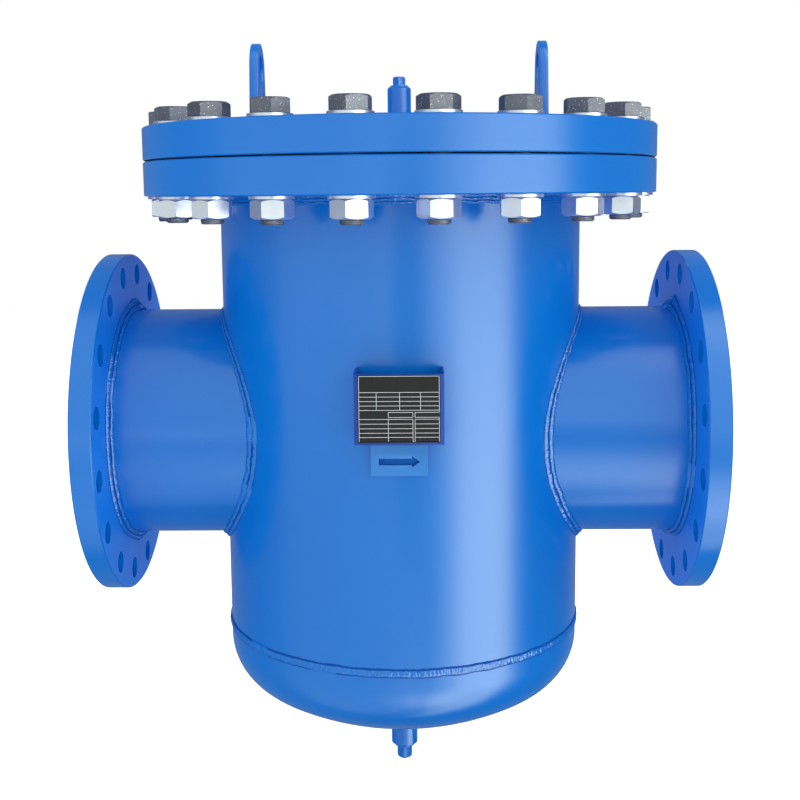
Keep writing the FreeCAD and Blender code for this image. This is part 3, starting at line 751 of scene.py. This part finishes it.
def makeWeld(name, body, stoodFor, seed, ripple, beads, rings=()):
    # beads hold (kind, path, length), rings hold (place, section) of the plain inner beads, and
    # ripple holds its depth, pitch and lumps
    points, faces, marks, steps = [], [], [], weldPlan["innerSteps"]
    sweeps = [beadRows(weldPlan[kind], path, length, kind != "lug", seed + 17.3 * i)
              for i, (kind, path, length) in enumerate(beads)]
    sweeps += [([[place(r, j * tau / steps, h) for r, h in section] for j in range(steps)],
                [[(0.0, 0.0, 0.0)] * len(section)] * steps, True) for place, section in rings]
    for sweptRings, sweptMarks, closed in sweeps:
        start, count, size = len(points), len(sweptRings), len(sweptRings[0])
        for ring, mark in zip(sweptRings, sweptMarks):
            points += ring
            marks += mark
        faces += quads(count, size, closed, start)
        if not closed:
            faces += [tuple(range(end, end + size)) for end in (start, start + (count - 1) * size)]
    mesh = makeMesh(name, points, faces, None, None)
    for k, label in enumerate(beadMarks):
        mesh.attributes.new(label, "FLOAT", "POINT").data.foreach_set("value", [m[k] for m in marks])
    values = dict(zip(("Depth", "Pitch", "Lump"), ripple), Seed=float(seed), Finish=weldEnamel)
    piece = grow(addPiece(name, mesh, weldEnamel), rippleTree, values)
    crowns = [mark.value for mark in piece.data.attributes["crown"].data]
    # the faces near the toes get the painted shade
    shadeFrom, shadeTo = weldPlan["toeCrown"]

    def alongToe(face):
        levels = [crowns[v] for v in face.vertices]
        return min(levels) < shadeTo and max(levels) > shadeFrom and noise.noise(
            face.center * weldPlan["toePatches"] + axisPoint * seed) > weldPlan["toeUnshaded"]

    secondFinish(piece, toeShadeEnamel, alongToe)
    for label in beadMarks:
        piece.data.attributes.remove(piece.data.attributes[label])
    shadeSmooth(piece.data, 55)
    return settle(piece, body, "blue_paint", stoodFor)


pipeBore, shellBore = 0.15395, 0.246        # inner radii
girthLevel, halfGap = middle("girth_weld", 2), 0.0015
setBack = low("inlet_nozzle").x - low("inlet_flange").x
coverTop, jointTop, shellTop = high("lid").z, high("body_flange").z, high("shell").z
lugHalf = (high("lug_inlet_side").y - low("lug_inlet_side").y) / 2 - 0.002     # beads stop short of it
lugSides = [edge for node in ("lug_inlet_side", "lug_outlet_side")
            for edge in ((low(node).x, -1), (high(node).x, 1))]
ventRadius, drainRadius = [(high(node).x - low(node).x) / 2 for node in ("vent_socket", "drain_socket")]
drainLevel = high("drain_socket_weld").z - 0.0006       # a little under the solid bead's top


def faceRing(face, inner):
    return pipePoint, [(pipeRadius, face), (pipeRadius, inner), (pipeBore, inner), (pipeBore, face)]


makeWeld("saddleWelds", "vessel", "nozzle_welds", 3, (0.0012, 0.0042, 0.0026),
         [("saddle", saddlePath(side), 1.1) for side in (-1, 1)])
makeWeld("flangeWelds", "vessel", "flange_welds", 11, (0.0012, 0.0038, 0.0024),
         [("flange", filletPath("flange", pipePoint, pipeRadius, back, side), 1.05)
          for back, side in ((high("inlet_flange").x, 1), (low("outlet_flange").x, -1))],
         [faceRing(low("inlet_flange").x, low("inlet_flange").x + setBack),
          faceRing(high("outlet_flange").x, high("outlet_flange").x - setBack)])
makeWeld("coverFlangeWelds", "vessel", "body_flange_welds", 23, (0.0008, 0.0040, 0.0014),
         [("cover", filletPath("cover", ringPoint, shellRadius, low("body_flange").z, -1), 1.62)],
         [(ringPoint, [(shellRadius, shellTop), (shellRadius, jointTop), (shellBore, jointTop),
                       (shellBore, shellTop)])])
makeWeld("girthWeld", "vessel", "girth_weld", 31, (0.0008, 0.0038, 0.0026),
         [("girth", girthPath, 1.62)],
         [(ringPoint, [(r, girthLevel + side * halfGap) for r, side in (
             (shellRadius - sink, 1), (shellRadius - sink, -1), (shellBore, -1), (shellBore, 1))])])
makeWeld("lidWelds", "lid", "lid_welds", 41, (0.0006, 0.0030, 0.0010),
         [("lug", lugPath(x, side), 0.092) for x, side in lugSides]
         + [("socket", filletPath("socket", ringPoint, ventRadius, coverTop, 1), 0.115)])
makeWeld("drainSocketWeld", "vessel", "drain_socket_weld", 47, (0.0006, 0.0030, 0.0010),
         [("socket", filletPath("socket", ringPoint, drainRadius, drainLevel, -1), 0.135)])
print("welds made")


# Cover bolting: one bolt, nut and washer of each kind, set out on the bolt circle by a tree
boltPlan = {
    "circle": 0.325, "count": 20, "radius": 0.015, "flats": 0.046, "headHeight": 0.0187, "nutHeight": 0.024,
    "washerRadius": 0.028, "washerBore": 0.0155, "washerThick": 0.004,
    "beyond": 0.0065,       # bolt end past its nut
    "point": 0.0024,        # chamfer of the bolt's end
    "pitch": 0.0035,        # coarse thread of a 30 mm bolt
    "threadDepth": 0.0013,
    "threaded": 0.046,      # length of thread at the bolt's end
    "bevel": 30.0,          # degrees that the corners are turned off at
    "faceShare": 0.94,      # round end face over the width across flats
    "collar": 0.0006,       # washer face under the head
    "play": 0.00005,        # between nut and bolt
    "headTurns": [12, 47, 25, 3, 38, 18, 52, 8, 33, 21, 42, 29, 16, 40, 22, 7, 42, 33, 29, 20],
    "nutTurns": [31, 9, 50, 22, 14, 41, 5, 36, 27, 55, 42, 37, 30, 8, 18, 7, 29, 5, 57, 22],
}
roundSteps = 48
roundAngles = [k * tau / roundSteps for k in range(roundSteps)]


def hexRings(plan, height):
    # the hexagon's corner radius at each angle, and how far its turned-off corners drop
    half, faceRadius = plan["flats"] / 2, plan["faceShare"] * plan["flats"] / 2
    slope = tan(radians(plan["bevel"]))
    reach = [half / cos((a % (tau / 6)) - tau / 12) for a in roundAngles]
    upper = [(r, height - (r - faceRadius) * slope) for r in reach]
    lower = [(r, (r - faceRadius) * slope) for r in reach]
    return faceRadius, reach, upper, lower


def flatRing(radii, height):
    # radii are one for each angle, or one for all
    return [(r, height) for r in (radii if isinstance(radii, list) else [radii] * roundSteps)]


def threadRings(plan, top, bottom, crest, root, point):
    # a helix drawn as rings whose radius depends on the angle
    rings, perTurn = [], 4
    count = int((top - bottom) / plan["pitch"] * perTurn)
    for i in range(count + 1):
        z = top - (top - bottom) * i / count
        ease = min(1.0, (top - z) / plan["pitch"])
        limit = plan["radius"] - max(0.0, point - (z - bottom)) if point else 1.0
        ring = []
        for a in roundAngles:
            depth = abs(2 * ((z / plan["pitch"] - a / tau) % 1.0) - 1)
            ring.append((min(limit, crest + depth * (root - crest) * ease), z))
        rings.append(ring)
    return rings


def stacked(rings):
    points = [(r * cos(a), r * sin(a), z) for ring in rings for a, (r, z) in zip(roundAngles, ring)]
    return points, quads(len(rings), roundSteps)


def boltMesh(plan, grip):
    # head upwards from 0, shank and thread downwards
    face, reach, upper, _ = hexRings(plan, plan["headHeight"])
    end = -(grip + plan["nutHeight"] + plan["beyond"])
    thread = end + plan["threaded"]
    r, collar = plan["radius"], plan["collar"]
    rings = [flatRing(face, plan["headHeight"]), upper, flatRing(reach, collar), flatRing(face, collar),
             flatRing(face, 0.0), flatRing(r, 0.0), flatRing(r, thread)]
    rings += threadRings(plan, thread, end, r, r - plan["threadDepth"], plan["point"])
    points, faces = stacked(rings)
    faces += [tuple(range(end, end + roundSteps)) for end in (0, len(points) - roundSteps)]
    return makeMesh("boltShape", points, faces, 28)


def nutMesh(plan):
    # hangs from 0 downwards, both ends turned off, with a thread cut outward from its bore
    height = plan["nutHeight"]
    face, _, upper, lower = hexRings(plan, 0.0)
    bore = plan["radius"] + plan["play"]
    mouth = bore + plan["threadDepth"] + 0.0002
    rings = [flatRing(mouth, 0.0), flatRing(face, 0.0), upper, [(r, z - height) for r, z in lower],
             flatRing(face, -height), flatRing(mouth, -height)]
    rings += threadRings(plan, 0.0, -height, bore, bore + plan["threadDepth"], None)[::-1]
    points, faces = stacked(rings)
    last = len(points) - roundSteps
    faces += [(last + j, j, (j + 1) % roundSteps, last + (j + 1) % roundSteps) for j in range(roundSteps)]
    return makeMesh("nutShape", points, faces, 28)


def washerMesh(plan):
    r, b, t, e = plan["washerRadius"], plan["washerBore"], plan["washerThick"], 0.0004
    section = [(b, 0), (r - e, 0), (r, e), (r, t - e), (r - e, t), (b, t), (b, 0)]
    points, faces = stacked([flatRing(radius, z) for radius, z in section])
    return makeMesh("washerShape", points, faces)


def makeSetOutTree():
    # sets a shape out on points, each turned about Z by the point's own angle
    tree, entry = newTree("setOut", [("Shape", "Object"), ("Finish", "Material")])
    shape = addNode(tree, "GeometryNodeObjectInfo", links={"Object": entry["Shape"], "As Instance": True})
    turn = addNode(tree, "GeometryNodeInputNamedAttribute", {"data_type": "FLOAT"}, {"Name": "turn"})
    spin = addNode(tree, "CombineXYZ", links={"Z": turn})
    placed = addNode(tree, "GeometryNodeInstanceOnPoints", links={
        "Points": entry["Geometry"], "Instance": shape.outputs["Geometry"], "Rotation": spin})
    endTree(tree, placed, entry["Finish"])
    return tree


setOutTree = makeSetOutTree()


def setOut(name, mesh, finish, places, turns):
    points = bpy.data.meshes.new(name)
    points.from_pydata(places, [], [])
    points.attributes.new("turn", "FLOAT", "POINT").data.foreach_set("value", turns)
    shape = addPiece("loose" + name, mesh, finish)
    piece = grow(addPiece(name, points, finish), setOutTree, {"Shape": shape, "Finish": finish})
    bpy.data.objects.remove(shape)
    return piece


def makeCircle(name, body, slotName, mesh, finish, level, turns, stoodFor):
    count = boltPlan["count"]
    places = [ringPoint(boltPlan["circle"], (i + 0.5) * tau / count, level) for i in range(count)]
    angles = [radians(turns[i % len(turns)]) for i in range(count)]
    return settle(setOut(name, mesh, finish, places, angles), body, slotName, stoodFor)


flangeUnder, washerThick = low("body_flange").z, boltPlan["washerThick"]
coverGrip = coverTop - flangeUnder + 2 * washerThick
makeCircle("coverBolts", "cover_bolts", "bolt_steel", boltMesh(boltPlan, coverGrip), boltSteel,
           coverTop + washerThick, boltPlan["headTurns"], "bolts")
makeCircle("coverNuts", "cover_nuts", "zinc_steel", nutMesh(boltPlan), zinc,
           flangeUnder - washerThick, boltPlan["nutTurns"], "nuts")
makeCircle("upperWashers", "cover_bolts", "zinc_steel", washerMesh(boltPlan), zinc, coverTop, [0],
           "upper_washers")
makeCircle("lowerWashers", "cover_nuts", "zinc_steel", washerMesh(boltPlan), zinc,
           flangeUnder - washerThick, [0], "lower_washers")
print("cover bolting made")


# Nameplate: black sheet with a bare header and a table of ruled cells, without lettering
platePlan = {
    "line": 0.00046,        # width of a ruled line
    "proud": 0.00010,       # how far a line stands out of the sheet
    "inset": 0.0014,        # from the sheet's edge to the frame line
    "rows": [0.245, 0.315, 0.382, 0.451, 0.518],                     # shares of the height
    "columns": [0.217, 0.507, 0.767],
    "boxes": [(0.364, 0.671), (0.698, 1.0)],
    "boxRows": (0.551, 0.627),
    "lowerRows": [0.656, 0.728, 0.799, 0.868, 0.933, 1.0],
    "lowerColumns": [0.364, 0.671, 0.698],
}


def makeNameplate(plan):
    small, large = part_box("nameplate")
    sheet = solidCopy("nameplate", "nameplateSheet", plateBlack)
    for vertex in sheet.data.vertices:      # the lines stand out to the plate's own front
        if vertex.co.y < small.y + 0.0002:
            vertex.co.y += plan["proud"]
    settle(sheet, "vessel", "plate_black", "nameplate")
    front, back = small.y, small.y + 3 * plan["proud"]
    x0, x1 = small.x + plan["inset"], large.x - plan["inset"]
    z0, z1 = small.z + plan["inset"], large.z - plan["inset"]
    half = plan["line"] / 2
    lines = []      # shares of the frame: from and to across, from and to downward
    for s in (0.0, 1.0):
        lines += [(0.0, 1.0, s, s), (s, s, 0.0, 1.0)]
    lines += [(0.0, 1.0, s, s) for s in plan["rows"]]
    lines += [(s, s, plan["rows"][0], plan["rows"][-1]) for s in plan["columns"]]
    for box in plan["boxes"]:
        lines += [(*box, s, s) for s in plan["boxRows"]] + [(s, s, *plan["boxRows"]) for s in box]
    _, left, right = plan["lowerColumns"]
    for s in plan["lowerRows"]:
        lines += [(0.0, left, s, s), (right, 1.0, s, s)]
    lines += [(s, s, plan["lowerRows"][0], plan["lowerRows"][-1]) for s in plan["lowerColumns"]]
    points, faces = [], []
    for a, b, c, d in lines:
        xa, xb = x0 + (x1 - x0) * a - half, x0 + (x1 - x0) * b + half
        za, zb = z1 + (z0 - z1) * d - half, z1 + (z0 - z1) * c + half
        start = len(points)
        points += [(x, y, z) for y in (front, back) for x, z in ((xa, za), (xb, za), (xb, zb), (xa, zb))]
        faces += [tuple(start + v for v in face) for face in (
            (0, 1, 2, 3), (7, 6, 5, 4), (0, 4, 5, 1), (1, 5, 6, 2), (2, 6, 7, 3), (3, 7, 4, 0))]
    settle(addPiece("nameplateLines", makeMesh("nameplateLines", points, faces), plateSilver),
           "vessel", "plate_black")


makeNameplate(platePlan)
print("nameplate made")


# Basket: perforated sheet wound from one tile, in stainless like its frame
basketPlan = {
    "outer": 0.178, "inner": 0.176,
    "hole": 0.010,          # diameter of a perforation
    "around": 74,           # holes in a ring, 15 mm apart, each ring half a step on from the last
    "row": 0.0131,          # height of a ring
    "slope": 0.9165,        # rise of the sheet's upper edge over its run, from inlet to outlet
    "edge": 0.01774,        # height of that edge at the vessel's axis
    "margin": 0.004,        # plain sheet left under the edge
}


def makeTile(plan, step):
    # a piece of the sheet with one octagonal hole, bent to the basket's radius, at angle 0
    half, reach = plan["row"] / 2, plan["hole"] / 2
    rim = [(step, 0), (step, half), (0, half), (-step, half),
           (-step, 0), (-step, -half), (0, -half), (step, -half)]
    hole = [(reach * cos(k * pi / 4) / plan["outer"], reach * sin(k * pi / 4)) for k in range(8)]
    points = [(r * cos(a), r * sin(a), z) for r in (plan["outer"], plan["inner"])
              for ring in (rim, hole) for a, z in ring]
    faces = []
    for k in range(8):
        n = (k + 1) % 8
        faces += [(k, n, 8 + n, 8 + k), (16 + n, 16 + k, 24 + k, 24 + n), (8 + k, 8 + n, 24 + n, 24 + k)]
    mesh = bpy.data.meshes.new("screenTile")
    mesh.from_pydata(points, [], faces)
    return mesh


def makeScreen(plan):
    count = 2 * plan["around"]      # the rings meet at half steps
    step = tau / count
    bottom, row, outer, inner = low("basket_screen").z, plan["row"], plan["outer"], plan["inner"]
    edge = [plan["edge"] + plan["slope"] * outer * cos(k * step) for k in range(count)]
    places, turns, stacks = [], [], [0] * count
    for j in range(int((max(edge) - bottom) / row)):
        for i in range(plan["around"]):
            left = (2 * i + j % 2) % count
            sides = (left, (left + 1) % count, (left + 2) % count)
            if bottom + (j + 1) * row + plan["margin"] < min(edge[k] for k in sides):
                places.append((vesselX, 0, bottom + (j + 0.5) * row))
                turns.append((left + 1) * step)
                stacks[sides[0]] = stacks[sides[1]] = j + 1
    piece = setOut("basketSheet", makeTile(plan, step), stainless, places, turns)
    bm = bmesh.new()
    bm.from_mesh(piece.data)

    def corner(r, k, z):
        return bm.verts.new(ringPoint(r, k * step, z))

    for k in range(count):          # plain strips from the last ring up to the sloping edge
        n = (k + 1) % count
        base = bottom + stacks[k] * row
        for r in (outer, inner):
            sides = []
            for m in (k, n):
                levels = [base + i * row / 2 for i in range(int((edge[m] - base) / (row / 2)) + 1)]
                sides.append([z for z in levels if z < edge[m] - 1e-5] + [edge[m]])
            bm.faces.new([corner(r, k, z) for z in sides[0]] + [corner(r, n, z) for z in sides[1][::-1]])
        for level in ((bottom, bottom), (edge[k], edge[n])):
            bm.faces.new([corner(outer, k, level[0]), corner(outer, n, level[1]),
                          corner(inner, n, level[1]), corner(inner, k, level[0])])
    bmesh.ops.remove_doubles(bm, verts=bm.verts, dist=2e-5)
    bmesh.ops.recalc_face_normals(bm, faces=bm.faces)
    print("open edges in the perforated sheet:", sum(1 for e in bm.edges if len(e.link_faces) != 2))
    bm.to_mesh(piece.data)
    bm.free()
    shadeSmooth(piece.data, 40)
    return piece


settle(makeScreen(basketPlan), "basket", "stainless", "basket_screen")
for node, pieceName, axis in (("basket_rim", "basketRim", None), ("basket_bottom", "basketCup", up),
                              ("basket_hoops", "basketHoops", up), ("basket_straps", "basketStraps", None),
                              ("basket_handle", "basketHandle", None)):
    settle(solidCopy(node, pieceName, stainless, axis), "basket", "stainless", node)
print("basket made")
